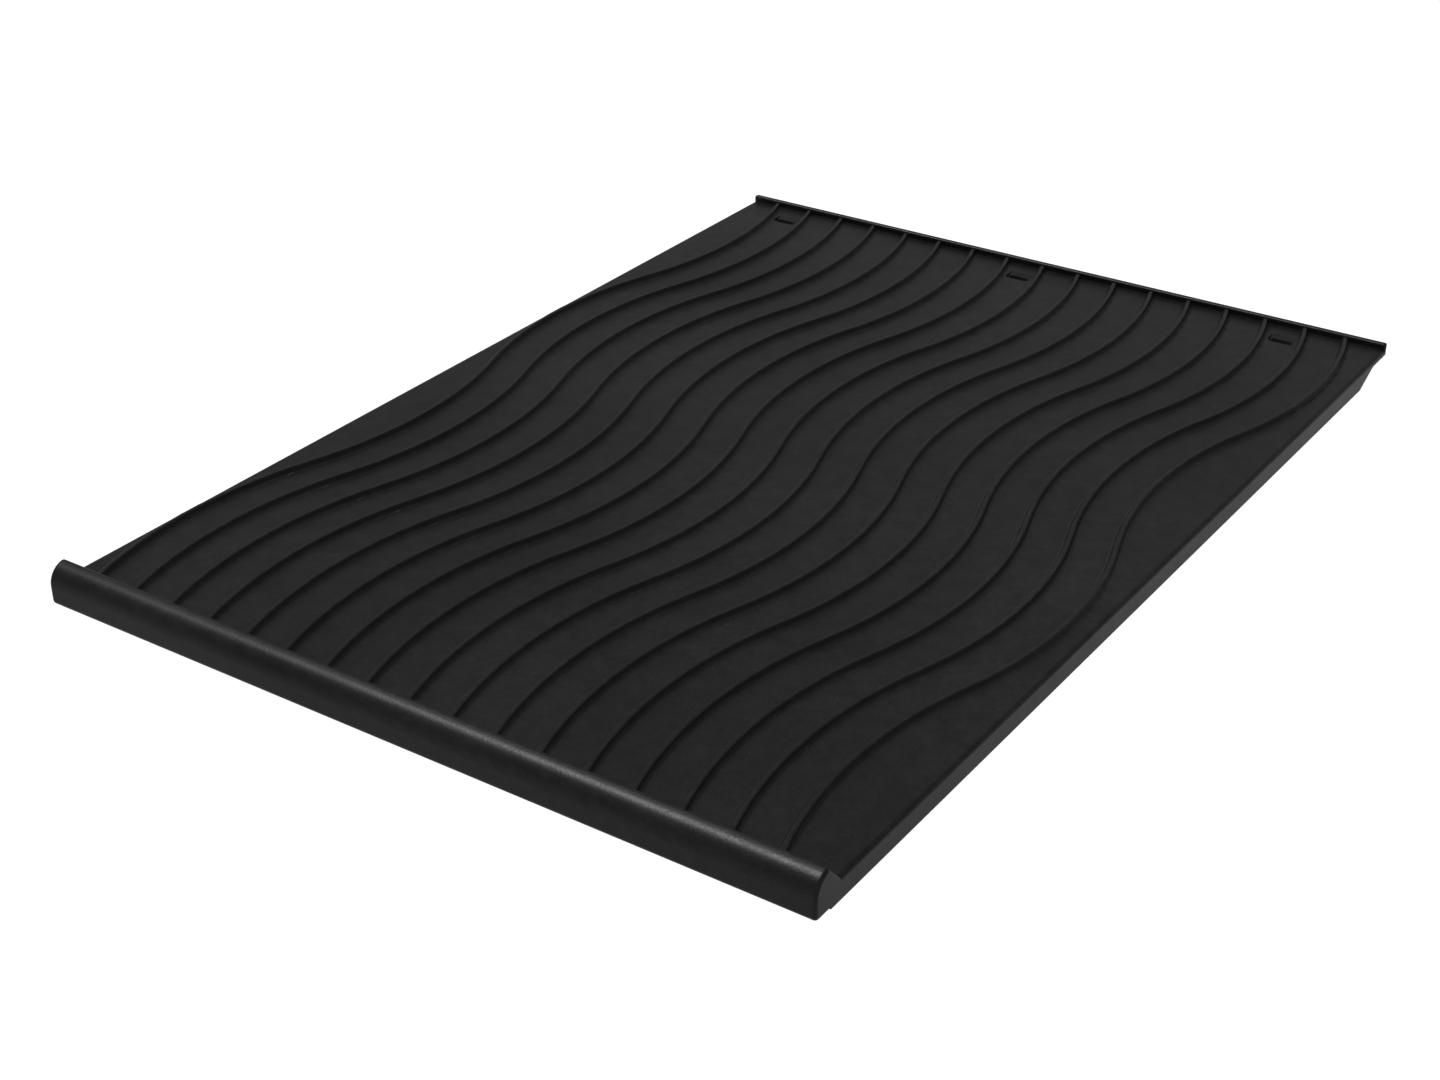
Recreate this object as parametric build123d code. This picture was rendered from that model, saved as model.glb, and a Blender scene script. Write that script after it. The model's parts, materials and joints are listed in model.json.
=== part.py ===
from build123d import *
import math
import os

# Rigid seedling heat mat. Millimetres, +Z up. The origin is the centre of the footprint, on the
# surface that the mat rests on, and the rounded front lip faces -Y. A ribbed moulded shell forms the
# top, the lip and the sides. A flat pan closes it from below, with the heating parts between the two.

# ---- overall sizes -------------------------------------------------------------------------------
width = 356.0
depth = 500.0
plate_z = 9.7               # height of the flat surface between the ribs
foot_gap = 0.4              # the shell's skirt stays this far above the surface, and the feet reach it
side_round = 2.0            # rounding of the shell's side edges

# ---- front lip -----------------------------------------------------------------------------------
lip_top = 17.5              # height that the round nose would reach
lip_nose_radius = 9.0
lip_heel_round = 2.0        # lower front edge
lip_crown_run = 8.1         # front face to the lip's top rear edge
lip_crown_round = 1.5
lip_foot_run = 14.9         # front face to the foot of the lip's sloping back
lip_end_round = 1.4
lip_wall = 2.6
lip_back_wall = 2.2
lip_web_run = 16.2          # front face to the wall behind the hollow
lip_boss_setback = 9.4

# ---- rear rim and overhang -----------------------------------------------------------------------
rim_top = 12.6
rim_wall = 2.8
rim_round = 0.9
overhang_wall = 2.8
overhang_run = 17.0         # flat underside, from the rear edge forward to the ramp
ramp_run = 14.8             # length of the slope under the rear edge
ramp_round = 4.0
rear_corner = 1.5

# ---- wave ribs -----------------------------------------------------------------------------------
rib_count = 17
rib_pitch = 20.05
rib_shift = -2.4            # the rib field sits a little left of centre
rib_height = 2.3
rib_top_width = 0.9
rib_base_width = 3.8
rib_foot_width = 7.4
rib_sink = 0.25             # the ribs' feet start this far inside the plate
rib_crest_round = 0.6
rib_root_round = 1.6
wave_swing = 10.2           # sideways reach of the wave, each way
wave_length = 245.0
wave_crest = 62.6           # distance from the rear edge to the wave's first right-hand crest
tip_round = 2.0             # rounded rear ends of the ribs
rib_start = 12.5            # front face to the ribs' front ends, inside the lip's sloping back
rib_end = 0.5               # and end this far inside the rim

# ---- drain slots ---------------------------------------------------------------------------------
slot_count = 3
slot_pitches = 7            # rib pitches from one slot to the next
slot_length = 12.5
slot_width = 5.0
slot_inset = 19.5           # slot centre to rear edge
scoop_length = 7.5
scoop_width = 13.0
scoop_depth = 1.1

# ---- shell walls and the ledge for the pan -------------------------------------------------------
skin = 2.5
skirt_wall = 3.0
ledge_wall = 6.6            # outer face to the inner edge of the gasket ledge
ledge_height = 1.5
lip_web = 2.8               # wall between the hollow lip and the main cavity
cavity_corner = 4.0

# ---- base pan, gasket, screws and feet -----------------------------------------------------------
pan_recess = 0.6
pan_thick = 2.0
pan_clearance = 0.3
gasket_thick = 0.8
gasket_clearance = 0.2
boss_radius = 3.0
lip_boss_radius = 2.7
screw_shank = 1.2
screw_head = 2.6
screw_head_depth = 1.4
screw_reach = 4.4           # thread length beyond the pan's upper face
pilot_radius = 1.25
pilot_depth = 4.9
pan_hole_radius = 1.4
cross_length = 2.6
cross_width = 0.6
cross_depth = 0.7
foot_radius = 7.0
foot_thick = 1.7
foot_inset = 24.0
foot_front_step = 32.0      # front edge to the front feet
side_boss_count = 5
side_boss_front = 62.0      # front edge to the first screw on each side
side_boss_rear = 18.0       # rear screws to the last screw on each side
rear_boss_shares = (-0.6, 0.0, 0.6)                     # of half the heating parts' width
front_boss_shares = (-1.0, -0.69, -0.25, 0.25, 0.69, 1.0)
lip_boss_shares = (-0.25, 0.09, 0.53, 0.94)             # of half the hollow's width
boss_gap = 0.6              # boss to the wall beside it

# ---- heating parts -------------------------------------------------------------------------------
stack_margin = 18.0         # outer face of the shell to the edge of the heating parts, at the sides
stack_front = 27.5          # front face to the front edge of the heating parts
stack_rear_gap = 9.1        # rear wall of the cavity to the rear edge of the heating parts
stack_corner = 6.0
spreader_thick = 0.5
cable_radius = 1.0
cable_runs = 12
cable_margin = 17.0         # edge of the heating parts to the centre of the first run
cable_end_margin = 5.5      # edge of the heating parts to the outside of the turns
channel_clearance = 0.15
cable_bend = 3.4            # where the cable's ends turn along the lip
cable_end_reach = 6.5       # run to the end of the cable, along the lip

# ---- thermal cut-out -----------------------------------------------------------------------------
cutout_length = 18.0
cutout_width = 6.2
cutout_thick = 2.9
cutout_corner = 0.8
cutout_setback = 8.5        # front edge of the heating parts to the cut-out
strap_thick = 0.4
strap_width = 8.0
strap_ear = 3.6
rivet_radius = 0.8
rivet_head_radius = 1.3
rivet_head_height = 0.4
window_clearance = 1.0

# ---- leads and splices ---------------------------------------------------------------------------
wire_radius = 0.8
lead_spread = 3.0           # middle of the cut-out to each of its leads
lead_bend = 3.2
link_gap = 1.8              # lip's rear wall to the wires that run along it
splice_length = 10.0
splice_radius = 1.4
supply_turn = 9.2           # front face to the cut-out's supply lead where it turns to the block
return_setback = 13.2       # front face to the return lead along the lip
return_z = 6.4
return_rise = (46.0, 34.0)  # block's entry to the two ends of the return lead's rise
notch_margin = 2.2          # openings in the lip's rear wall, past the wires they pass
notch_turn = 8.0            # and on the side towards which the wires turn
clip_length = 6.0
clip_reach = 1.7            # middle of the wire to the clip's open side
clip_shares = (-0.15, 0.2, 0.4, 0.6)                    # of half the hollow's width

# ---- terminal block in the lip -------------------------------------------------------------------
block_x = -104.0
block_setback = 8.4         # front edge to the block's middle
block_length = 14.0
block_width = 7.4
block_height = 4.0
block_corner = 0.6
block_lift = 0.1            # clear height over the gasket ledge
pole_spread = 2.3
tube_radius = 1.15
tube_bore = 0.9
tube_length = 13.0
clamp_spread = 4.2
clamp_radius = 0.6
clamp_clearance = 0.1
clamp_slot = 0.35
clamp_lift = 0.2            # clamp screws sit this far inside the block's lower face
pole_entry = 4.0            # how far each lead goes into the block
block_screw_radius = 0.9
block_screw_head = 1.7
block_screw_head_depth = 1.2
block_screw_reach = 2.2
block_boss_radius = 2.6

# ---- inlet in the left end of the lip ------------------------------------------------------------
inlet_setback = 9.2         # front face to the inlet's axis
inlet_z = 7.4
inlet_recess = 2.6
inlet_wall = 4.0
inlet_flange = 3.1
inlet_flange_thick = 0.6
inlet_barrel = 2.6
inlet_clearance = 0.12
inlet_bore = 1.8
inlet_bore_depth = 8.0
inlet_length = 11.0
inlet_pin_radius = 0.65     # the contact that the plug slides over
inlet_shank_radius = 0.45   # the thinner part behind it, through the body to the tag
inlet_pin_setback = 0.6
tag_length = 3.0
spring_thick = 0.4
spring_width = 1.2
spring_offset = 0.2
washer_thick = 0.8
washer_radius = 3.3
nut_thick = 2.0
nut_flats = 6.2

# ---- hinged inlet cap ----------------------------------------------------------------------------
cap_width = 5.9
cap_thick = 1.2
cap_drop = 6.1              # hinge axis to the cap's free edge
cap_inset = 0.2             # end face of the lip to the closed cap
cap_knuckle = 0.85
cap_gap = 0.2
cap_corner = 1.0
cap_hinge_lift = 3.0        # inlet axis to hinge axis
cap_trunnion = 0.6
cap_trunnion_reach = 0.5
trunnion_clearance = 0.06
trunnion_end_gap = 0.1
notch_radius = 1.4          # fingernail notch in the cap's free edge

# ---- places worked out from the sizes ------------------------------------------------------------
front_y = -depth / 2
rear_y = depth / 2
left_x = -width / 2
lip_nose_y = front_y + lip_nose_radius
lip_nose_z = lip_top - lip_nose_radius
lip_crown_y = front_y + lip_crown_run
lip_crown_z = lip_nose_z + math.sqrt(lip_nose_radius**2 - (lip_nose_radius - lip_crown_run)**2)
lip_foot_y = front_y + lip_foot_run
lip_back_run = lip_foot_y - lip_crown_y
lip_back_fall = lip_crown_z - plate_z
lip_boss_y = front_y + lip_boss_setback
overhang_z = plate_z - overhang_wall
ramp_top_y = rear_y - overhang_run
ramp_foot_y = ramp_top_y - ramp_run
pan_z = foot_gap + pan_recess
pan_top = pan_z + pan_thick
ledge_z = pan_top + gasket_thick
ceiling_z = plate_z - skin
web_front_y = front_y + lip_web_run
web_rear_y = web_front_y + lip_web
wall_rear_y = ramp_foot_y - skirt_wall
cavity_rear_y = ramp_foot_y - ledge_wall
cavity_half = width / 2 - ledge_wall
rib_field_half = (rib_count - 1) / 2 * rib_pitch
wave_crest_y = rear_y - wave_crest
wave_radius = ((wave_length / 4)**2 + wave_swing**2) / (2 * wave_swing)
rim_inner_y = rear_y - rim_wall
stack_half = width / 2 - stack_margin
stack_front_y = front_y + stack_front
stack_rear_y = cavity_rear_y - stack_rear_gap
cable_z = ceiling_z - spreader_thick - cable_radius
spreader_z = ceiling_z - spreader_thick
run_pitch = 2 * (stack_half - cable_margin) / (cable_runs - 1)
turn_radius = run_pitch / 2
run_front_y = stack_front_y + cable_end_margin + cable_radius + turn_radius
run_rear_y = stack_rear_y - cable_end_margin - cable_radius - turn_radius
first_run_x = -(stack_half - cable_margin)
cutout_x = first_run_x + 2.5 * run_pitch
cutout_y = stack_front_y + cutout_setback + cutout_length / 2
lead_z = spreader_z - cutout_thick / 2
link_y = web_front_y - link_gap
return_y = front_y + return_setback
block_y = front_y + block_setback
block_z = ledge_z + ledge_height + block_lift
pole_z = block_z + block_height / 2
inlet_y = front_y + inlet_setback
recess_x = left_x + inlet_recess
flange_x = recess_x - inlet_flange_thick
wall_inner_x = recess_x + inlet_wall
inlet_rear_x = recess_x + inlet_length - inlet_flange_thick
bore_floor_x = flange_x + inlet_bore_depth
spring_y = inlet_y + inlet_bore + spring_offset + spring_thick / 2
hinge_x = left_x + cap_inset + cap_knuckle
hinge_z = inlet_z + cap_hinge_lift
boss_side_x = cavity_half - boss_radius - boss_gap
boss_front_y = web_rear_y + boss_radius + 0.2
boss_rear_y = cavity_rear_y - boss_radius - boss_gap


def box_between(x0, x1, y0, y1, z0, z1):
    """A box from its lowest and highest corners."""
    centre = ((x0 + x1) / 2, (y0 + y1) / 2, (z0 + z1) / 2)
    return Pos(*centre) * Box(x1 - x0, y1 - y0, z1 - z0)


def rod_z(x, y, radius, z0, z1):
    """An upright cylinder between two heights."""
    return Pos(x, y, (z0 + z1) / 2) * Cylinder(radius, z1 - z0)


def rod_x(y, z, radius, x0, x1):
    """A cylinder along X between two places."""
    return Pos((x0 + x1) / 2, y, z) * Rot(0, 90, 0) * Cylinder(radius, x1 - x0)


def slab(x_half, y0, y1, corner, z0, z1):
    """A plate with rounded plan corners, centred on X."""
    outline = Pos(0, (y0 + y1) / 2) * RectangleRounded(2 * x_half, y1 - y0, corner)
    return Pos(0, 0, z0) * extrude(outline, z1 - z0)


def side_prism(outline, half):
    """A YZ outline, drawn as (y, z), extruded along X to both sides."""
    return extrude(Plane.YZ * outline, half, both=True)


def wire_along(points, radii, radius):
    """A round wire along straight runs joined by tangent arcs."""
    path = FilletPolyline(*points, radius=radii)
    start = Plane(origin=path @ 0, z_dir=path % 0)
    return sweep(start * Circle(radius), path=path)


# ---- top shell -----------------------------------------------------------------------------------
def plate_body():
    """The plate with its skirt and the sloped underside at the rear."""
    outline = make_face(Polyline(
        (lip_nose_y, foot_gap),
        (ramp_foot_y, foot_gap),
        (ramp_top_y, overhang_z),
        (rear_y, overhang_z),
        (rear_y, plate_z),
        (lip_nose_y, plate_z),
        (lip_nose_y, foot_gap),
    ))
    body = side_prism(outline, width / 2)
    ramp_edges = [
        edge for edge in body.edges().filter_by(Axis.X)
        if ramp_foot_y - 1 < edge.center().Y < ramp_top_y + 1 and edge.center().Z < plate_z - 1
    ]
    body = fillet(ramp_edges, ramp_round)
    top_sides = body.edges().filter_by(Axis.Y).group_by(Axis.Z)[-1]
    return fillet(top_sides, side_round)


def lip_section():
    """The lip's section: rounded heel, upright front, round nose and a back sloping into the plate."""
    heel_mid = lip_heel_round * (1 - math.sqrt(0.5))
    nose_angle = (math.pi + math.acos((lip_crown_run - lip_nose_radius) / lip_nose_radius)) / 2
    nose_mid_y = lip_nose_y + lip_nose_radius * math.cos(nose_angle)
    nose_mid_z = lip_nose_z + lip_nose_radius * math.sin(nose_angle)
    tail_y = lip_foot_y + side_round * lip_back_run / lip_back_fall
    outline = make_face([
        ThreePointArc(
            (front_y + lip_heel_round, foot_gap),
            (front_y + heel_mid, foot_gap + heel_mid),
            (front_y, foot_gap + lip_heel_round),
        ),
        Line((front_y, foot_gap + lip_heel_round), (front_y, lip_nose_z)),
        ThreePointArc((front_y, lip_nose_z), (nose_mid_y, nose_mid_z), (lip_crown_y, lip_crown_z)),
        Line((lip_crown_y, lip_crown_z), (tail_y, plate_z - side_round)),
        Line((tail_y, plate_z - side_round), (tail_y, foot_gap)),
        Line((tail_y, foot_gap), (front_y + lip_heel_round, foot_gap)),
    ])
    crown = [v for v in outline.vertices() if v.Y > lip_crown_z - 0.1]
    return fillet(crown, lip_crown_round)


def lip_body():
    """The raised lip, with the edges of its end faces rounded."""
    body = side_prism(lip_section(), width / 2)
    ends = [
        edge for edge in body.edges()
        if abs(abs(edge.center().X) - width / 2) < 0.01
        and edge.center().Z > foot_gap + 0.1
        and (edge.center().Y < lip_foot_y - 1 or edge.center().Z > plate_z)
    ]
    return fillet(ends, lip_end_round)


def rear_rim():
    """The low rim along the rear edge, with its top rounded."""
    rim = box_between(-width / 2, width / 2, rim_inner_y, rear_y, overhang_z, rim_top)
    ends = rim.edges().filter_by(Axis.Y).group_by(Axis.Z)[-1]
    rim = fillet(ends, side_round - rim_round)
    top_edges = [
        edge for edge in rim.edges().filter_by(Axis.X) if edge.center().Z > rim_top - 0.1
    ]
    return fillet(top_edges, rim_round)


def wave_x(y):
    """Sideways place of the wave at a distance along the plate."""
    half_waves = round((y - wave_crest_y) / (wave_length / 2))
    from_crest = y - wave_crest_y - half_waves * wave_length / 2
    drop = wave_radius - math.sqrt(wave_radius**2 - from_crest**2)
    side = 1 if half_waves % 2 == 0 else -1
    return side * (wave_swing - drop)


def wave_path():
    """Arcs that curve left and right in turn, one for each half wave, from before the lip to past the rim."""
    half = wave_length / 2
    last = math.ceil((rear_y - wave_crest_y) / half - 0.5)
    first = math.floor((front_y - wave_crest_y) / half + 0.5)
    arcs = []
    for i in range(first, last + 1):
        y = wave_crest_y + i * half
        arcs.append(ThreePointArc(
            (0, y - half / 2, plate_z), (wave_x(y), y, plate_z), (0, y + half / 2, plate_z)
        ))
    return Wire(arcs)


def wave_rib():
    """One rib: a drafted, rounded section swept along the wave."""
    path = wave_path()
    section = make_face(Polyline(
        (-rib_foot_width / 2, -rib_sink),
        (-rib_base_width / 2, rib_sink),
        (-rib_top_width / 2 - rib_crest_round / 2, rib_height),
        (rib_top_width / 2 + rib_crest_round / 2, rib_height),
        (rib_base_width / 2, rib_sink),
        (rib_foot_width / 2, -rib_sink),
        (-rib_foot_width / 2, -rib_sink),
    ))
    crest = [v for v in section.vertices() if v.Y > rib_height - 0.1]
    section = fillet(crest, rib_crest_round)
    root = [v for v in section.vertices() if abs(v.Y - rib_sink) < 0.01]
    section = fillet(root, rib_root_round)
    along = path % 0
    start = Plane(origin=path @ 0, x_dir=(-along.Y, along.X, 0), z_dir=along)
    return sweep(start * section, path=path)


def rib_field():
    """All the ribs, their rear ends rounded down to the rim and their feet kept inside the outline."""
    rib = wave_rib()
    y0 = front_y + rib_start
    y1 = rim_inner_y + rib_end
    low = plate_z - 1
    high = plate_z + rib_height + 0.01
    tip = make_face(Polyline((y0, low), (y1, low), (y1, high), (y0, high), (y0, low)))
    corner = [v for v in tip.vertices() if v.X > rim_inner_y and v.Y > plate_z]
    envelope = side_prism(fillet(corner, tip_round), width / 2 - side_round / 3)
    places = [rib_shift - rib_field_half + i * rib_pitch for i in range(rib_count)]
    return [(Pos(x, 0, 0) * rib) & envelope for x in places]


def drain_slots():
    """The slots and the shallow slope behind each, as one cutting shape per slot."""
    y = rear_y - slot_inset
    cuts = []
    for i in range(slot_count):
        x = slot_x(i)
        outline = Pos(x, y) * SlotOverall(slot_length, slot_width)
        cuts.append(Pos(0, 0, foot_gap) * extrude(outline, plate_z))
        wedge = make_face(Polyline(
            (y, plate_z - scoop_depth),
            (y + scoop_length, plate_z + 0.2),
            (y, plate_z + 0.2),
            (y, plate_z - scoop_depth),
        ))
        cuts.append(Pos(x, 0, 0) * side_prism(wedge, scoop_width / 2))
    return cuts


def slot_x(i):
    """Centre of a drain slot: midway between two ribs."""
    wave = wave_x(rear_y - slot_inset)
    middle = rib_shift + wave - rib_pitch / 2
    return middle + (i - (slot_count - 1) / 2) * slot_pitches * rib_pitch


def lip_hollow():
    """The hollow in the lip: round above, and narrower below where the gasket's ledge stands in."""
    low = ledge_z + ledge_height
    slope = math.hypot(lip_back_run, lip_back_fall)
    inner_y = lip_crown_y - lip_back_wall * lip_back_fall / slope
    inner_z = lip_crown_z - lip_back_wall * lip_back_run / slope
    ceiling_y = inner_y + (inner_z - ceiling_z) * lip_back_run / lip_back_fall
    nose = Pos(lip_nose_y, lip_nose_z) * Circle(lip_nose_radius - lip_wall)
    upright = make_face(Polyline(
        (front_y + lip_wall, low), (web_front_y, low), (web_front_y, lip_nose_z),
        (front_y + lip_wall, lip_nose_z), (front_y + lip_wall, low),
    ))
    under_back = make_face(Polyline(
        (front_y, low), (web_front_y, low), (web_front_y, ceiling_z), (ceiling_y, ceiling_z),
        (inner_y, inner_z), (front_y, inner_z), (front_y, low),
    ))
    lower = make_face(Polyline(
        (front_y + ledge_wall, foot_gap), (web_front_y, foot_gap), (web_front_y, ceiling_z),
        (front_y + ledge_wall, ceiling_z), (front_y + ledge_wall, foot_gap),
    ))
    return side_prism(((nose + upright) & under_back) + lower, cavity_half)


def cavities():
    """The hollow under the plate, the hollow in the lip and the opening that the pan closes."""
    opening = slab(
        width / 2 - skirt_wall, front_y + skirt_wall, wall_rear_y, cavity_corner, 0, ledge_z
    )
    main = slab(cavity_half, web_rear_y, cavity_rear_y, cavity_corner, foot_gap, ceiling_z)
    return [opening, main, lip_hollow()]


def web_notches():
    """Openings in the wall behind the lip for the cable's ends and the cut-out's leads."""
    spans = [
        (first_run_x - notch_margin, first_run_x + notch_turn),
        (-first_run_x - notch_turn, -first_run_x + notch_margin),
        (cutout_x - lead_spread - notch_turn, cutout_x + lead_spread + notch_margin),
    ]
    y0 = web_front_y - 0.5
    y1 = web_rear_y + 0.5
    return [box_between(x0, x1, y0, y1, foot_gap, ceiling_z) for x0, x1 in spans]


def boss_places():
    """Screw places along the sides, the rear and behind the lip."""
    y_first = front_y + side_boss_front
    step = (boss_rear_y - side_boss_rear - y_first) / (side_boss_count - 1)
    places = [(sign * boss_side_x, y_first + i * step) for sign in (-1, 1) for i in range(side_boss_count)]
    places += [(share * stack_half, boss_rear_y) for share in rear_boss_shares]
    places += [(share * stack_half, boss_front_y) for share in front_boss_shares]
    return places


def lip_boss_places():
    """Screw places inside the hollow lip, clear of the terminal block."""
    return [(share * cavity_half, lip_boss_y) for share in lip_boss_shares]


def top_shell():
    """The ribbed moulding: plate, lip, rim, ribs, slots, hollow underside, bosses and inlet recess."""
    outline = make_face(Polyline(
        (-width / 2, front_y), (width / 2, front_y), (width / 2, rear_y), (-width / 2, rear_y),
        (-width / 2, front_y),
    ))
    rear_corners = [v for v in outline.vertices() if v.Y > 0]
    plan = extrude(fillet(rear_corners, rear_corner), lip_top)
    lip = lip_body()
    body = plate_body() + lip + rear_rim()
    body = (body & plan) - cavities() - web_notches()
    bosses = [rod_z(x, y, boss_radius, pan_top, ceiling_z + 0.5) for x, y in boss_places()]
    lip_roof = lip_top - lip_wall
    lip_bosses = [rod_z(x, y, lip_boss_radius, pan_top, lip_roof) for x, y in lip_boss_places()]
    lip_bosses.append(rod_z(block_x, block_y, block_boss_radius, block_z + block_height, lip_roof))
    bosses += [boss & lip for boss in lip_bosses]
    body = body + bosses
    places = boss_places() + lip_boss_places()
    pilots = [rod_z(x, y, pilot_radius, foot_gap, pan_top + pilot_depth) for x, y in places]
    block_pilot_top = block_z + block_height + block_screw_reach + 0.3
    pilots.append(rod_z(block_x, block_y, block_screw_radius + 0.05, block_z, block_pilot_top))
    body = body - pilots - inlet_cuts()
    return (body + rib_field()) - drain_slots()


def inlet_cuts():
    """The recess for the cap, the inlet's hole and the sockets for the cap's trunnions."""
    half = cap_width / 2 + cap_gap
    recess = box_between(
        left_x - 1, recess_x,
        inlet_y - half, inlet_y + half,
        hinge_z - cap_drop - cap_gap, hinge_z + cap_knuckle + cap_gap,
    )
    hole = rod_x(inlet_y, inlet_z, inlet_barrel + inlet_clearance, recess_x - 1, wall_inner_x + 1)
    reach = cap_width / 2 + cap_trunnion_reach + trunnion_end_gap
    sockets = trunnion_rod(cap_trunnion + trunnion_clearance, reach)
    return [recess, hole, sockets]


def trunnion_rod(radius, reach):
    """A rod along the cap's hinge axis."""
    return Pos(hinge_x, inlet_y, hinge_z) * Rot(90, 0, 0) * Cylinder(radius, 2 * reach)


# ---- base pan and what fastens it ----------------------------------------------------------------
def pan_outline(inset, z0, z1):
    """A plate that fits the shell's opening with the given gap all round."""
    return slab(
        width / 2 - skirt_wall - inset,
        front_y + skirt_wall + inset,
        wall_rear_y - inset,
        cavity_corner - inset,
        z0,
        z1,
    )


def foot_places():
    """Six feet: four near the corners and two halfway along the sides."""
    x = width / 2 - foot_inset
    ys = (front_y + foot_front_step, (front_y + wall_rear_y) / 2, wall_rear_y - foot_inset)
    return [(sign * x, y) for sign in (-1, 1) for y in ys]


def base_pan():
    """The flat cover, with countersunk holes and shallow seats for the feet."""
    pan = pan_outline(pan_clearance, pan_z, pan_top)
    cuts = []
    for x, y in boss_places() + lip_boss_places():
        cuts.append(rod_z(x, y, pan_hole_radius, pan_z - 1, pan_top + 1))
        sink = Cone(screw_head + 0.1, pan_hole_radius, screw_head_depth + 0.1)
        cuts.append(Pos(x, y, pan_z + (screw_head_depth + 0.1) / 2) * sink)
    cuts += [rod_z(x, y, foot_radius, pan_z - 1, foot_thick) for x, y in foot_places()]
    return pan - cuts


def base_gasket():
    """A flat ring between the pan's edge and the shell's ledge."""
    outer = pan_outline(pan_clearance, pan_top, ledge_z)
    inner_inset = ledge_wall - skirt_wall - gasket_clearance
    inner = pan_outline(inner_inset, pan_top - 1, ledge_z + 1)
    return outer - inner


def pan_screw():
    """A countersunk self-tapping screw with a cross recess, its head's face at z = 0."""
    head = Pos(0, 0, screw_head_depth / 2) * Cone(screw_head, screw_shank, screw_head_depth)
    shank = rod_z(0, 0, screw_shank, screw_head_depth, pan_thick + screw_reach)
    cross = Box(cross_length, cross_width, 2 * cross_depth) + Box(cross_width, cross_length, 2 * cross_depth)
    return head + shank - cross


def pan_screws():
    screw = pan_screw()
    return Compound(children=[Pos(x, y, pan_z) * screw for x, y in boss_places() + lip_boss_places()])


def feet():
    """Round rubber feet with a softened lower edge."""
    foot = rod_z(0, 0, foot_radius, 0, foot_thick)
    foot = fillet(foot.edges().group_by(Axis.Z)[0], foot_gap)
    return Compound(children=[Pos(x, y, 0) * foot for x, y in foot_places()])


# ---- heating parts -------------------------------------------------------------------------------
def run_x(i):
    return first_run_x + i * run_pitch


def heating_cable():
    """Parallel runs joined by half turns, with both ends led forward into the lip."""
    parts = []
    for side, turn in ((first_run_x, 1), (-first_run_x, -1)):
        x_end = side + turn * cable_end_reach
        x_bend = side + turn * cable_bend
        y_bend = link_y + cable_bend
        start_angle = 180 if turn > 0 else 270
        parts.append(Line((x_end, link_y, cable_z), (x_bend, link_y, cable_z)))
        parts.append(Plane((x_bend, y_bend, cable_z)) * CenterArc((0, 0, 0), cable_bend, start_angle, 90))
        parts.append(Line((side, y_bend, cable_z), (side, run_front_y, cable_z)))
    for i in range(cable_runs):
        parts.append(Line((run_x(i), run_front_y, cable_z), (run_x(i), run_rear_y, cable_z)))
    for i in range(cable_runs - 1):
        at_rear = i % 2 == 0
        y = run_rear_y if at_rear else run_front_y
        turn_plane = Plane((run_x(i) + turn_radius, y, cable_z))
        parts.append(turn_plane * CenterArc((0, 0, 0), turn_radius, 0 if at_rear else 180, 180))
    path = Wire(parts)
    start = Plane(origin=path @ 0, z_dir=path % 0)
    return sweep(start * Circle(cable_radius), path=path)


def cable_channel():
    """The channel in the foam: open towards the spreader, a little wider than the cable."""
    half = cable_radius + channel_clearance
    z0 = cable_z - half
    z1 = spreader_z + 1
    cuts = []
    for i in range(cable_runs):
        y0 = run_front_y if 0 < i < cable_runs - 1 else stack_front_y - 1
        cuts.append(box_between(run_x(i) - half, run_x(i) + half, y0, run_rear_y, z0, z1))
    for i in range(cable_runs - 1):
        at_rear = i % 2 == 0
        y = run_rear_y if at_rear else run_front_y
        ring = Circle(turn_radius + half) - Circle(turn_radius - half)
        keep = Pos(0, turn_radius if at_rear else -turn_radius) * Rectangle(4 * turn_radius, 2 * turn_radius)
        cuts.append(Pos(run_x(i) + turn_radius, y, z0) * extrude(ring & keep, z1 - z0))
    return cuts


def insulation_pad():
    """The foam pad, with the cable's channels and a window for the cut-out."""
    pad = slab(stack_half, stack_front_y, stack_rear_y, stack_corner, pan_top, spreader_z)
    half = cutout_width / 2 + strap_thick + strap_ear + window_clearance
    rear = cutout_y + cutout_length / 2 + window_clearance
    window = box_between(
        cutout_x - half, cutout_x + half, stack_front_y - 1, rear, pan_top - 1, spreader_z + 1
    )
    return pad - cable_channel() - window


def rivet_places():
    x = cutout_width / 2 + strap_thick + strap_ear / 2
    return [(cutout_x + sign * x, cutout_y) for sign in (-1, 1)]


def heat_spreader():
    sheet = slab(stack_half, stack_front_y, stack_rear_y, stack_corner, spreader_z, ceiling_z)
    return sheet - [rod_z(x, y, rivet_radius, spreader_z - 1, ceiling_z + 1) for x, y in rivet_places()]


def thermal_cutout():
    body = box_between(
        cutout_x - cutout_width / 2, cutout_x + cutout_width / 2,
        cutout_y - cutout_length / 2, cutout_y + cutout_length / 2,
        spreader_z - cutout_thick, spreader_z,
    )
    return fillet(body.edges().filter_by(Axis.Z), cutout_corner)


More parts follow.
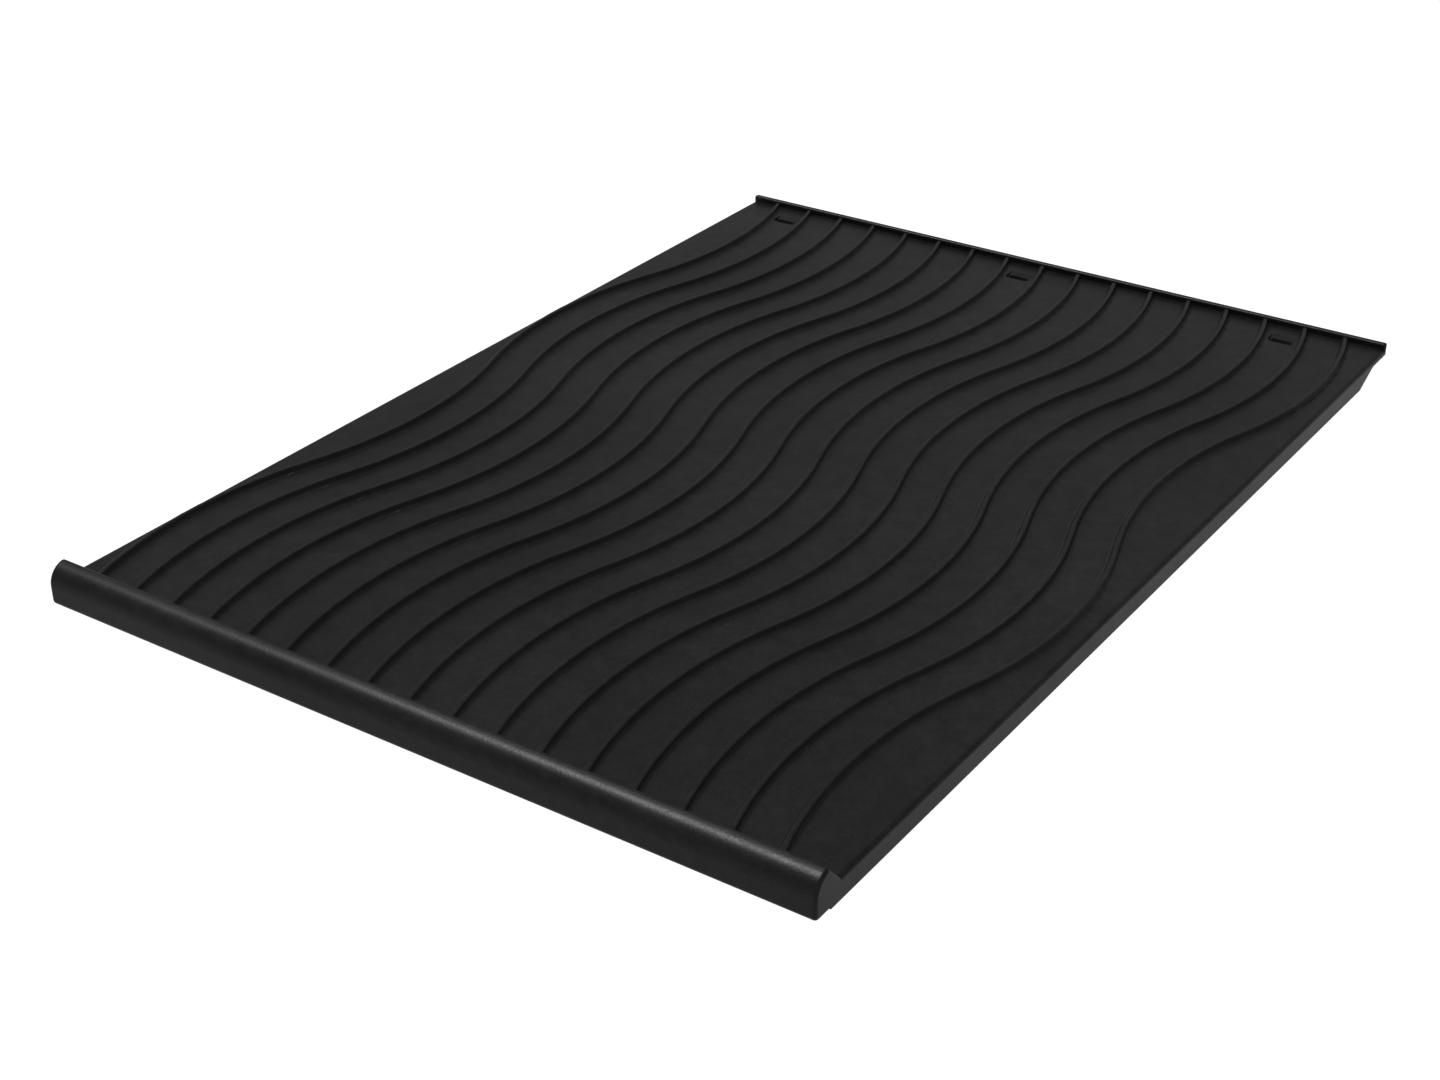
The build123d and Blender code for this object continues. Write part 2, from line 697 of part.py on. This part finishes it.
def cutout_strap():
    """A top-hat strap: it passes under the cut-out and its ears lie flat on the spreader."""
    inner = cutout_width / 2
    outer = inner + strap_thick
    y0 = cutout_y - strap_width / 2
    y1 = cutout_y + strap_width / 2
    low = spreader_z - cutout_thick
    strap = box_between(cutout_x - outer, cutout_x + outer, y0, y1, low - strap_thick, low)
    for sign in (-1, 1):
        wall = sorted((cutout_x + sign * inner, cutout_x + sign * outer))
        ear = sorted((cutout_x + sign * inner, cutout_x + sign * (outer + strap_ear)))
        strap = strap + box_between(*wall, y0, y1, low - strap_thick, spreader_z)
        strap = strap + box_between(*ear, y0, y1, spreader_z - strap_thick, spreader_z)
    return strap - [rod_z(x, y, rivet_radius, low, spreader_z + 1) for x, y in rivet_places()]


def strap_rivets():
    low = spreader_z - strap_thick
    rivets = []
    for x, y in rivet_places():
        shank = rod_z(x, y, rivet_radius, low, ceiling_z)
        rivets.append(shank + rod_z(x, y, rivet_head_radius, low - rivet_head_height, low))
    return Compound(children=rivets)


# ---- wiring in the lip ---------------------------------------------------------------------------
def splice(side, turn):
    """A crimp sleeve over the end of the cable; it starts where the cable's end stops."""
    x0 = side + turn * cable_end_reach
    x1 = x0 + turn * splice_length
    return rod_x(link_y, cable_z, splice_radius, *sorted((x0, x1)))


def cutout_lead_link():
    """From the cut-out forward through the web, then left along the lip to the left splice."""
    x = cutout_x - lead_spread
    y_cut = cutout_y - cutout_length / 2
    x_end = first_run_x + cable_end_reach + splice_length
    points = [
        (x, y_cut, lead_z),
        (x, link_y + 9.0, lead_z),
        (x, link_y, cable_z),
        (x_end, link_y, cable_z),
    ]
    return wire_along(points, [4.0, lead_bend], wire_radius)


def cutout_lead_supply():
    """From the cut-out forward through the web, across the lip and back into the block's front pole."""
    x = cutout_x + lead_spread
    y_cut = cutout_y - cutout_length / 2
    pole_y = block_y - pole_spread
    x_pole = block_x + block_length / 2 - pole_entry
    points = [
        (x, y_cut, lead_z),
        (x, front_y + supply_turn, lead_z),
        (x - 5.0, pole_y, pole_z),
        (x_pole, pole_y, pole_z),
    ]
    return wire_along(points, [2.0, 2.0], wire_radius)


def return_lead():
    """From the right splice along the lip to the block's rear pole."""
    pole_y = block_y + pole_spread
    x_start = -first_run_x - cable_end_reach - splice_length
    x_pole = block_x + block_length / 2 - pole_entry
    points = [
        (x_start, link_y, cable_z),
        (x_start - 6.0, link_y, cable_z),
        (x_start - 14.0, return_y, return_z),
        (x_pole + return_rise[0], return_y, return_z),
        (x_pole + return_rise[1], pole_y, pole_z),
        (x_pole, pole_y, pole_z),
    ]
    return wire_along(points, [5.0, 5.0, 8.0, 8.0], wire_radius)


def wire_clips():
    """Saddles on the lip's rear wall round the return lead."""
    hollow = lip_hollow()
    clips = []
    for share in clip_shares:
        x0 = share * cavity_half - clip_length / 2
        x1 = x0 + clip_length
        body = box_between(
            x0, x1, return_y - clip_reach, web_front_y, return_z - clip_reach, return_z + clip_reach
        )
        wire_hole = rod_x(return_y, return_z, wire_radius + 0.1, x0 - 1, x1 + 1)
        clips.append((body & hollow) - wire_hole)
    return Compound(children=clips)


def pole_ys():
    return (block_y - pole_spread, block_y + pole_spread)


def clamp_places():
    return [(block_x + sign * clamp_spread, y) for sign in (-1, 1) for y in pole_ys()]


def terminal_block():
    """The insulating body, bored for two tubes, four clamp screws and its own fixing screw."""
    half_x = block_length / 2
    half_y = block_width / 2
    body = box_between(
        block_x - half_x, block_x + half_x,
        block_y - half_y, block_y + half_y,
        block_z, block_z + block_height,
    )
    body = fillet(body.edges().filter_by(Axis.Z), block_corner)
    half_tube = tube_length / 2
    cuts = [rod_x(y, pole_z, tube_radius, block_x - half_tube, block_x + half_tube) for y in pole_ys()]
    cuts += [rod_x(y, pole_z, tube_bore, block_x - half_x - 1, block_x + half_x + 1) for y in pole_ys()]
    cuts += [rod_z(x, y, clamp_radius + clamp_clearance, block_z - 1, pole_z) for x, y in clamp_places()]
    cuts.append(rod_z(block_x, block_y, block_screw_radius + 0.1, block_z - 1, block_z + block_height + 1))
    return body - cuts


def terminal_tubes():
    half_tube = tube_length / 2
    tubes = []
    for y in pole_ys():
        tube = rod_x(y, pole_z, tube_radius, block_x - half_tube, block_x + half_tube)
        tube = tube - rod_x(y, pole_z, tube_bore, block_x - half_tube - 1, block_x + half_tube + 1)
        for sign in (-1, 1):
            x = block_x + sign * clamp_spread
            tube = tube - rod_z(x, y, clamp_radius + clamp_clearance, pole_z - tube_radius - 1, pole_z)
        tubes.append(tube)
    return Compound(children=tubes)


def terminal_screws():
    top = pole_z - wire_radius
    low = block_z + clamp_lift
    slot = Box(clamp_slot, 2 * clamp_radius + 1, 2 * clamp_slot)
    screws = []
    for x, y in clamp_places():
        screws.append(rod_z(x, y, clamp_radius, low, top) - Pos(x, y, low) * slot)
    return Compound(children=screws)


def block_screw():
    """Pan-head screw from below, through the block into the lip's boss."""
    head = rod_z(block_x, block_y, block_screw_head, block_z - block_screw_head_depth, block_z)
    top = block_z + block_height + block_screw_reach
    shank = rod_z(block_x, block_y, block_screw_radius, block_z, top)
    slot = Pos(block_x, block_y, block_z - block_screw_head_depth) * Box(0.6, 2 * block_screw_head + 1, 1.0)
    return head + shank - slot


# ---- inlet ---------------------------------------------------------------------------------------
def inlet_body():
    """A flanged barrel with a blind bore, a hole for the centre contact and a slot for the outer one."""
    body = rod_x(inlet_y, inlet_z, inlet_flange, flange_x, recess_x)
    body = body + rod_x(inlet_y, inlet_z, inlet_barrel, recess_x, inlet_rear_x)
    bore = rod_x(inlet_y, inlet_z, inlet_bore, flange_x - 1, bore_floor_x)
    hole = rod_x(inlet_y, inlet_z, inlet_shank_radius, flange_x, inlet_rear_x + 1)
    half_t = spring_thick / 2 + 0.05
    half_w = spring_width / 2 + 0.05
    slot = box_between(
        flange_x + 2.0, inlet_rear_x + 1, inlet_y, spring_y + half_t, inlet_z - half_w, inlet_z + half_w
    )
    core = rod_x(inlet_y, inlet_z, inlet_bore, bore_floor_x, inlet_rear_x + 1)
    slot = slot - core
    return body - bore - hole - slot


def inlet_pin():
    """The centre contact: a round-nosed pin on the bore's floor, with a thinner shank behind it."""
    pin = rod_x(inlet_y, inlet_z, inlet_pin_radius, flange_x + inlet_pin_setback, bore_floor_x)
    tip = pin.edges().group_by(Axis.X)[0]
    shank = rod_x(inlet_y, inlet_z, inlet_shank_radius, bore_floor_x, inlet_rear_x + tag_length)
    return fillet(tip, inlet_pin_radius / 2) + shank


def inlet_spring():
    """The outer contact, set into the wall of the inlet's bore."""
    half_t = spring_thick / 2
    half_w = spring_width / 2
    return box_between(
        flange_x + 2.4, inlet_rear_x + tag_length,
        spring_y - half_t, spring_y + half_t,
        inlet_z - half_w, inlet_z + half_w,
    )


def inlet_washer():
    x1 = wall_inner_x + washer_thick
    ring = rod_x(inlet_y, inlet_z, washer_radius, wall_inner_x, x1)
    return ring - rod_x(inlet_y, inlet_z, inlet_barrel + 0.05, wall_inner_x - 1, x1 + 1)


def inlet_nut():
    """Hexagon nut with a flat facing down, clear of the pan."""
    corner_radius = nut_flats / math.sqrt(3)
    x0 = wall_inner_x + washer_thick
    face = Plane((x0, inlet_y, inlet_z), x_dir=(0, 1, 0), z_dir=(1, 0, 0))
    nut = extrude(face * RegularPolygon(corner_radius, 6), nut_thick)
    return nut - rod_x(inlet_y, inlet_z, inlet_barrel + 0.05, x0 - 1, x0 + nut_thick + 1)


def inlet_lead_positive():
    pole_y = block_y - pole_spread
    x0 = inlet_rear_x + tag_length
    points = [
        (x0, inlet_y, inlet_z),
        (x0 + 8.0, inlet_y, inlet_z),
        (x0 + 20.0, pole_y, pole_z),
        (block_x - block_length / 2 + pole_entry, pole_y, pole_z),
    ]
    return wire_along(points, [8.0, 8.0], wire_radius)


def inlet_lead_negative():
    pole_y = block_y + pole_spread
    x0 = inlet_rear_x + tag_length
    points = [
        (x0, spring_y, inlet_z),
        (x0 + 8.0, spring_y, inlet_z + 0.3),
        (x0 + 22.0, pole_y, pole_z),
        (block_x - block_length / 2 + pole_entry, pole_y, pole_z),
    ]
    return wire_along(points, [12.0, 12.0], wire_radius)


def inlet_cap():
    """The dust cover: a plate hung from a round knuckle, with a trunnion at each end and a finger notch."""
    half = cap_width / 2
    knuckle = trunnion_rod(cap_knuckle, half)
    trunnions = trunnion_rod(cap_trunnion, half + cap_trunnion_reach)
    x0 = hinge_x - cap_knuckle
    leaf = box_between(x0, x0 + cap_thick, inlet_y - half, inlet_y + half, hinge_z - cap_drop, hinge_z)
    corners = [e for e in leaf.edges().filter_by(Axis.X) if e.center().Z < hinge_z - 1]
    leaf = fillet(corners, cap_corner)
    notch = rod_x(inlet_y, hinge_z - cap_drop - notch_radius / 2, notch_radius, x0 - 1, x0 + cap_thick / 2)
    return leaf + knuckle + trunnions - notch


nodes = {
    "top_shell": top_shell(),
    "base_pan": base_pan(),
    "base_gasket": base_gasket(),
    "pan_screws": pan_screws(),
    "feet": feet(),
    "heat_spreader": heat_spreader(),
    "heating_cable": heating_cable(),
    "insulation_pad": insulation_pad(),
    "thermal_cutout": thermal_cutout(),
    "cutout_strap": cutout_strap(),
    "strap_rivets": strap_rivets(),
    "splice_left": splice(first_run_x, 1),
    "splice_right": splice(-first_run_x, -1),
    "cutout_lead_supply": cutout_lead_supply(),
    "cutout_lead_link": cutout_lead_link(),
    "return_lead": return_lead(),
    "wire_clips": wire_clips(),
    "terminal_block": terminal_block(),
    "terminal_tubes": terminal_tubes(),
    "terminal_screws": terminal_screws(),
    "block_screw": block_screw(),
    "inlet_body": inlet_body(),
    "inlet_pin": inlet_pin(),
    "inlet_spring": inlet_spring(),
    "inlet_washer": inlet_washer(),
    "inlet_nut": inlet_nut(),
    "inlet_lead_positive": inlet_lead_positive(),
    "inlet_lead_negative": inlet_lead_negative(),
    "inlet_cap": inlet_cap(),
}

os.makedirs("parts", exist_ok=True)
for name, shape in nodes.items():
    export_step(shape, f"parts/{name}.step")
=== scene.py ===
import json
import math

import bpy
from mathutils import Matrix, Vector

# The heat mat as the frame gives it, on a white light table under a soft overhead light. Every visible
# shape is the CAD's own, so this script makes the camera, the light, the table and the materials.
# Lengths are in metres, colours are linear, and a pattern's scale is in features per metre.

# ---- camera --------------------------------------------------------------------------------------
CAMERA_PLACE = (0.4832, -0.7396, 0.4637)
CAMERA_YAW = math.radians(34.83)
CAMERA_DIP = math.radians(29.30)
CAMERA_ROLL = math.radians(-0.584)
CAMERA_LENS = 57.54                     # millimetres, as is the sensor
SENSOR_WIDTH = 36.0

# ---- light and table -----------------------------------------------------------------------------
SUN_TOWARDS = (-0.41, -0.15, 0.90)      # from the mat to the light: overhead, a little to the left
SUN_SPREAD = math.radians(14.0)
SUN_POWER = 3.6
WORLD_POWER = 0.58
PICTURE_GAMMA = 0.78                    # deepens the dark tones and leaves the white table white
TABLE_HALF = 6.0
TABLE_GLOW = 1.0
TABLE_COLOUR = (0.05, 0.05, 0.05, 1)    # dark under its own light, so the mat's shadow hardly shows
TABLE_ROUGH = 0.9

# ---- patterns shared by the materials ------------------------------------------------------------
NOISE_RANGE = (0.35, 0.65)              # nearly all of a noise pattern's values lie between these
WIDE_NOISE_RANGE = (0.30, 0.70)
SHEEN_PER_PATCH = 3.0                   # sheen varies in patches this much finer than the colour's
METAL_CLOUD = 180.0

# ---- the shell's near-black satin skin -----------------------------------------------------------
SHELL_DARK = (0.0092, 0.0094, 0.0098)
SHELL_LIGHT = (0.0150, 0.0152, 0.0155)
SHELL_SPECK = (0.07, 0.07, 0.068)
SHELL_CLOUD = 9.0
SHELL_SPOT = 160.0
SHELL_SPOT_TONE = (0.78, 1.22)
SHELL_GRAIN = 1500.0
SHELL_GRAIN_TONE = (0.80, 1.20)
SHELL_GRAIN_DEPTH = 0.00003
SHELL_PEBBLE = 900.0
SHELL_PEBBLE_DEPTH = 0.00002
SHELL_DUST = 170.0
SHELL_DUST_EDGE = (0.028, 0.040)        # a speck's core and rim, as shares of the specks' spacing
SHELL_SHEEN = 35.0
SHELL_ROUGH = (0.34, 0.44)
SHELL_SPECULAR = 0.22

# ---- the foam pad --------------------------------------------------------------------------------
# painted shade: the small cells' hollows are coloured darker than their rims
FOAM_HOLLOW_SHADE = (0.46, 0.46, 0.44)
FOAM_LIGHT = (0.68, 0.68, 0.66)
FOAM_SMALL_CELL = 1400.0
FOAM_SMALL_DEPTH = 0.00015
FOAM_SMALL_EDGE = (0.05, 0.55)
FOAM_LARGE_CELL = 600.0
FOAM_LARGE_DEPTH = 0.0002
FOAM_LARGE_EDGE = (0.1, 0.6)
FOAM_ROUGH = (0.75, 0.95)

# ---- moulded and extruded materials, by slot -----------------------------------------------------
# Patch is the scale of the colour's mottling, grain that of the fine relief, and depth its height.
NYLON = dict(patch=130.0, grain=1700.0, depth=0.00002, Subsurface_Weight=0.15, Subsurface_Scale=0.001)
WIRE = dict(patch=110.0, rough=(0.30, 0.42), grain=1500.0, depth=0.00002)
MOULDED = {
    "cap_rubber": dict(
        dark=(0.0095, 0.0095, 0.010), light=(0.015, 0.015, 0.0155),
        patch=60.0, rough=(0.42, 0.55), grain=1800.0, depth=0.00003),
    "pan_black": dict(
        dark=(0.010, 0.010, 0.011), light=(0.020, 0.020, 0.021),
        patch=14.0, rough=(0.55, 0.72), grain=1100.0, depth=0.00006),
    "foot_rubber": dict(
        dark=(0.010, 0.010, 0.010), light=(0.022, 0.022, 0.021),
        patch=90.0, rough=(0.75, 0.92), grain=2200.0, depth=0.00006),
    "seal_silicone": dict(
        dark=(0.23, 0.24, 0.25), light=(0.31, 0.32, 0.33),
        patch=50.0, rough=(0.45, 0.62), grain=1600.0, depth=0.00003),
    "cable_silicone": dict(
        dark=(0.38, 0.035, 0.028), light=(0.50, 0.06, 0.05),
        patch=70.0, rough=(0.38, 0.52), grain=1500.0, depth=0.00002),
    "cutout_case": dict(
        dark=(0.72, 0.70, 0.63), light=(0.82, 0.80, 0.74),
        patch=120.0, rough=(0.25, 0.38), grain=1600.0, depth=0.00002),
    "splice_sleeve": dict(
        dark=(0.030, 0.030, 0.24), light=(0.06, 0.06, 0.34),
        patch=150.0, rough=(0.28, 0.42), grain=1300.0, depth=0.00004),
    "inlet_plastic": dict(
        dark=(0.013, 0.013, 0.013), light=(0.024, 0.024, 0.025),
        patch=160.0, rough=(0.22, 0.34), grain=2400.0, depth=0.00001),
    "lead_red": dict(dark=(0.46, 0.018, 0.018), light=(0.60, 0.040, 0.036), **WIRE),
    "lead_black": dict(dark=(0.016, 0.016, 0.016), light=(0.034, 0.034, 0.034), **WIRE),
    "clip_plastic": dict(dark=(0.68, 0.67, 0.62), light=(0.79, 0.78, 0.74), rough=(0.40, 0.55), **NYLON),
    "block_plastic": dict(dark=(0.66, 0.65, 0.60), light=(0.76, 0.75, 0.70), rough=(0.42, 0.56), **NYLON),
}

# ---- metals, by slot -----------------------------------------------------------------------------
# Stretch is the scale of the worked lines along x, y and z: they run along the axes with the least.
METALS = {
    "screw_steel": dict(
        dark=(0.46, 0.47, 0.49), light=(0.62, 0.62, 0.63),
        rough=(0.24, 0.42), stretch=(900.0, 900.0, 300.0), depth=0.00001),
    "spreader_aluminium": dict(
        dark=(0.68, 0.69, 0.71), light=(0.80, 0.81, 0.83),
        rough=(0.22, 0.40), stretch=(1400.0, 60.0, 60.0), depth=0.00001),
    "strap_metal": dict(
        dark=(0.54, 0.55, 0.57), light=(0.66, 0.67, 0.68),
        rough=(0.25, 0.42), stretch=(120.0, 1500.0, 120.0), depth=0.00001),
    "contact_brass": dict(
        dark=(0.62, 0.46, 0.17), light=(0.76, 0.60, 0.28),
        rough=(0.18, 0.32), stretch=(100.0, 1600.0, 1600.0), depth=0.000006),
    "nut_metal": dict(
        dark=(0.52, 0.50, 0.44), light=(0.64, 0.62, 0.56),
        rough=(0.20, 0.34), stretch=(1500.0, 200.0, 200.0), depth=0.000008),
}


# ---- camera, light and table ---------------------------------------------------------------------
def make_camera():
    """The camera at the viewing angle, place and lens that the mat's corners give."""
    forward = Vector((
        -math.sin(CAMERA_YAW) * math.cos(CAMERA_DIP),
        math.cos(CAMERA_YAW) * math.cos(CAMERA_DIP),
        -math.sin(CAMERA_DIP),
    ))
    level = Vector((math.cos(CAMERA_YAW), math.sin(CAMERA_YAW), 0.0))
    upright = level.cross(forward)
    right = math.cos(CAMERA_ROLL) * level + math.sin(CAMERA_ROLL) * upright
    up = math.cos(CAMERA_ROLL) * upright - math.sin(CAMERA_ROLL) * level
    data = bpy.data.cameras.new("camera")
    data.lens = CAMERA_LENS
    data.sensor_width = SENSOR_WIDTH
    camera = bpy.data.objects.new("camera", data)
    bpy.context.scene.collection.objects.link(camera)
    turn = Matrix((right, up, -forward)).transposed().to_4x4()
    camera.matrix_world = Matrix.Translation(CAMERA_PLACE) @ turn
    bpy.context.scene.camera = camera


def make_light():
    """A soft key light from above and a little to the left, in an evenly lit white room."""
    data = bpy.data.lights.new("key", "SUN")
    data.angle = SUN_SPREAD
    data.energy = SUN_POWER
    key = bpy.data.objects.new("key", data)
    bpy.context.scene.collection.objects.link(key)
    key.rotation_euler = Vector(SUN_TOWARDS).to_track_quat("Z", "Y").to_euler()
    world = bpy.data.worlds.new("studio")
    world.use_nodes = True
    back = world.node_tree.nodes["Background"]
    back.inputs["Color"].default_value = (1, 1, 1, 1)
    back.inputs["Strength"].default_value = WORLD_POWER
    bpy.context.scene.world = world
    bpy.context.scene.view_settings.view_transform = "Standard"
    bpy.context.scene.view_settings.gamma = PICTURE_GAMMA


def make_floor():
    """A plain white table, lit from within, so the mat's shadow hardly shows. Low views see its far edge."""
    mesh = bpy.data.meshes.new("floor")
    half = TABLE_HALF
    corners = [(-half, -half, 0), (half, -half, 0), (half, half, 0), (-half, half, 0)]
    mesh.from_pydata(corners, [], [(0, 1, 2, 3)])
    floor = bpy.data.objects.new("floor", mesh)
    bpy.context.scene.collection.objects.link(floor)
    material = bpy.data.materials.new("floor_white")
    material.use_nodes = True
    shader = material.node_tree.nodes["Principled BSDF"]
    shader.inputs["Base Color"].default_value = TABLE_COLOUR
    shader.inputs["Roughness"].default_value = TABLE_ROUGH
    shader.inputs["Specular IOR Level"].default_value = 0.0
    shader.inputs["Emission Color"].default_value = (1, 1, 1, 1)
    shader.inputs["Emission Strength"].default_value = TABLE_GLOW
    mesh.materials.append(material)


# ---- material building blocks --------------------------------------------------------------------
class Surface:
    """A Principled material whose colour, roughness and bump come from patterns in object space."""

    def __init__(self, name):
        self.material = bpy.data.materials.new(name)
        self.material.use_nodes = True
        self.tree = self.material.node_tree
        self.shader = self.tree.nodes["Principled BSDF"]
        self.place = self.tree.nodes.new("ShaderNodeTexCoord").outputs["Object"]

    def stretched(self, scale):
        """Object coordinates scaled unevenly, for brushed and drawn surfaces."""
        node = self.tree.nodes.new("ShaderNodeMapping")
        node.inputs["Scale"].default_value = scale
        self.tree.links.new(self.place, node.inputs["Vector"])
        return node.outputs["Vector"]

    def noise(self, scale, detail, rough=0.6, place=None):
        """Cloudy noise; more detail and a higher roughness make it busier."""
        node = self.tree.nodes.new("ShaderNodeTexNoise")
        node.inputs["Scale"].default_value = scale
        node.inputs["Detail"].default_value = detail
        node.inputs["Roughness"].default_value = rough
        self.tree.links.new(place or self.place, node.inputs["Vector"])
        return node.outputs["Fac"]

    def cells(self, scale):
        """Distance to the nearest of many scattered points."""
        node = self.tree.nodes.new("ShaderNodeTexVoronoi")
        node.inputs["Scale"].default_value = scale
        self.tree.links.new(self.place, node.inputs["Vector"])
        return node.outputs["Distance"]

    def ramp(self, source, places, values):
        """A ramp from the first value to the second, which are both colours or both greys."""
        node = self.tree.nodes.new("ShaderNodeValToRGB")
        for element, place, value in zip(node.color_ramp.elements, places, values):
            element.position = place
            element.color = (*value, 1.0) if isinstance(value, tuple) else (value, value, value, 1.0)
        self.tree.links.new(source, node.inputs["Fac"])
        return node.outputs["Color"]

    def mix(self, share, low, high, blend="MIX"):
        """Two colours mixed; each of the three can be another node's output or a constant."""
        node = self.tree.nodes.new("ShaderNodeMix")
        node.data_type = "RGBA"
        node.blend_type = blend
        for socket, value in ((node.inputs[0], share), (node.inputs[6], low), (node.inputs[7], high)):
            if isinstance(value, bpy.types.NodeSocket):
                self.tree.links.new(value, socket)
            elif isinstance(value, tuple):
                socket.default_value = (*value, 1.0)
            else:
                socket.default_value = value
        return node.outputs[2]

    def bump(self, height, depth, under=None):
        """Relief of the given depth in metres, on top of another relief if there is one."""
        node = self.tree.nodes.new("ShaderNodeBump")
        node.inputs["Distance"].default_value = depth
        node.inputs["Strength"].default_value = 1.0
        self.tree.links.new(height, node.inputs["Height"])
        if under:
            self.tree.links.new(under, node.inputs["Normal"])
        return node.outputs["Normal"]

    def finish(self, colour, roughness, normal, **fixed):
        """The material with its patterns linked; fixed holds the shader's own constants by name."""
        for source, name in ((colour, "Base Color"), (roughness, "Roughness"), (normal, "Normal")):
            self.tree.links.new(source, self.shader.inputs[name])
        for name, value in fixed.items():
            self.shader.inputs[name.replace("_", " ")].default_value = value
        return self.material


def moulded(name, dark, light, patch, rough, grain, depth, **fixed):
    """Moulded plastic or rubber: broad mottling, varied sheen and a fine moulded grain."""
    surface = Surface(name)
    mottling = surface.noise(patch, detail=4.0, rough=0.55)
    fine = surface.noise(grain, detail=2.0, rough=0.55)
    sheen = surface.noise(patch * SHEEN_PER_PATCH, detail=5.0, rough=0.65)
    return surface.finish(
        surface.ramp(mottling, NOISE_RANGE, (dark, light)),
        surface.ramp(sheen, NOISE_RANGE, rough),
        surface.bump(fine, depth),
        **fixed,
    )


def metal(name, dark, light, rough, stretch, depth):
    """Worked metal: fine lines along one direction, with clouded colour and varied roughness."""
    surface = Surface(name)
    lines = surface.noise(1.0, detail=3.0, place=surface.stretched(stretch))
    cloud = surface.noise(METAL_CLOUD, detail=4.0)
    return surface.finish(
        surface.ramp(cloud, WIDE_NOISE_RANGE, (dark, light)),
        surface.ramp(lines, WIDE_NOISE_RANGE, rough),
        surface.bump(lines, depth),
        Metallic=1.0,
    )


def shell_black():
    """Near-black satin moulding: soft mottling, a fine pebbled skin and a few pale dust specks."""
    surface = Surface("shell_black")
    clouds = surface.noise(SHELL_CLOUD, detail=5.0)
    spots = surface.noise(SHELL_SPOT, detail=4.0, rough=0.7)
    grain = surface.noise(SHELL_GRAIN, detail=2.0)
    pebble = surface.cells(SHELL_PEBBLE)
    tone = surface.ramp(clouds, WIDE_NOISE_RANGE, (SHELL_DARK, SHELL_LIGHT))
    spot_tone = surface.ramp(spots, NOISE_RANGE, SHELL_SPOT_TONE)
    tone = surface.mix(1.0, tone, spot_tone, "MULTIPLY")
    grain_tone = surface.ramp(grain, WIDE_NOISE_RANGE, SHELL_GRAIN_TONE)
    tone = surface.mix(1.0, tone, grain_tone, "MULTIPLY")
    dust = surface.ramp(surface.cells(SHELL_DUST), SHELL_DUST_EDGE, (1.0, 0.0))
    tone = surface.mix(dust, tone, SHELL_SPECK)
    sheen = surface.mix(0.5, surface.noise(SHELL_SHEEN, detail=4.0), grain)
    skin = surface.bump(pebble, SHELL_PEBBLE_DEPTH)
    skin = surface.bump(grain, SHELL_GRAIN_DEPTH, skin)
    roughness = surface.ramp(sheen, NOISE_RANGE, SHELL_ROUGH)
    return surface.finish(tone, roughness, skin, Specular_IOR_Level=SHELL_SPECULAR)


def pad_foam():
    """Closed-cell foam: packed cells of two sizes, with painted shade darkening the cells' hollows."""
    surface = Surface("pad_foam")
    small = surface.cells(FOAM_SMALL_CELL)
    large = surface.cells(FOAM_LARGE_CELL)
    return surface.finish(
        surface.ramp(small, FOAM_SMALL_EDGE, (FOAM_HOLLOW_SHADE, FOAM_LIGHT)),
        surface.ramp(large, FOAM_LARGE_EDGE, FOAM_ROUGH),
        surface.bump(small, FOAM_SMALL_DEPTH, surface.bump(large, FOAM_LARGE_DEPTH)),
    )


def make_materials():
    """One finished material for each slot of the record."""
    materials = {"shell_black": shell_black(), "pad_foam": pad_foam()}
    for slot, look in MOULDED.items():
        materials[slot] = moulded(slot, **look)
    for slot, look in METALS.items():
        materials[slot] = metal(slot, **look)
    return materials


def dress(nodes, subparts):
    """Every node takes the finished material of the slot that the record gives it."""
    materials = make_materials()
    for part in subparts:
        mesh = nodes[part["node"]].data
        mesh.materials.clear()
        mesh.materials.append(materials[part["material_slot"]])


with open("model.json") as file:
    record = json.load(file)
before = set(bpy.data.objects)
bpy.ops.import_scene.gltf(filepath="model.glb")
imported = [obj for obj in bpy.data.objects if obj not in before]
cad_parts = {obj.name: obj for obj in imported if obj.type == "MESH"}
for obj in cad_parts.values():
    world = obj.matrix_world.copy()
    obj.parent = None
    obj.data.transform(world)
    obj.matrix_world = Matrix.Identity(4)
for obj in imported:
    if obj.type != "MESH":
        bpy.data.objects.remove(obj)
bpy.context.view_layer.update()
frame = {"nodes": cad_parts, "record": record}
make_camera()
make_light()
make_floor()
dress(frame["nodes"], frame["record"]["subparts"])
